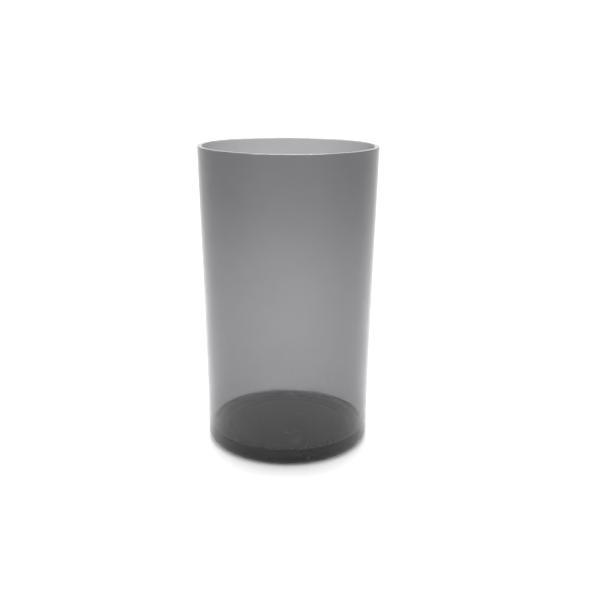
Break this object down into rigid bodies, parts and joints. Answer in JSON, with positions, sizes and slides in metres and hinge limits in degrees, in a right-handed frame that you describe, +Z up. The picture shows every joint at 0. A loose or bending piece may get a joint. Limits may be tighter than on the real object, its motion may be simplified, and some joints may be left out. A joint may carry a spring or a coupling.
{
  "type": "cylinder vase",
  "caption": "Tall smoked glass cylinder vase with a slight draft, a flat lip with softened edges and a thick base with a rounded heel.",
  "frame": {"origin": "centre of the standing ring, on the plane that the vase stands on", "axes": "+Z up along the vase's axis of symmetry, out of the mouth; X and Y are equivalent"},
  "size_m": [0.146, 0.146, 0.25],
  "materials": {
    "smoked_glass": "clear smoke grey, polished, faintly wavy"
  },
  "bodies": {
    "root": {"cylinder_wall": "smoked_glass", "heavy_base": "smoked_glass"}
  },
  "joints": []
}
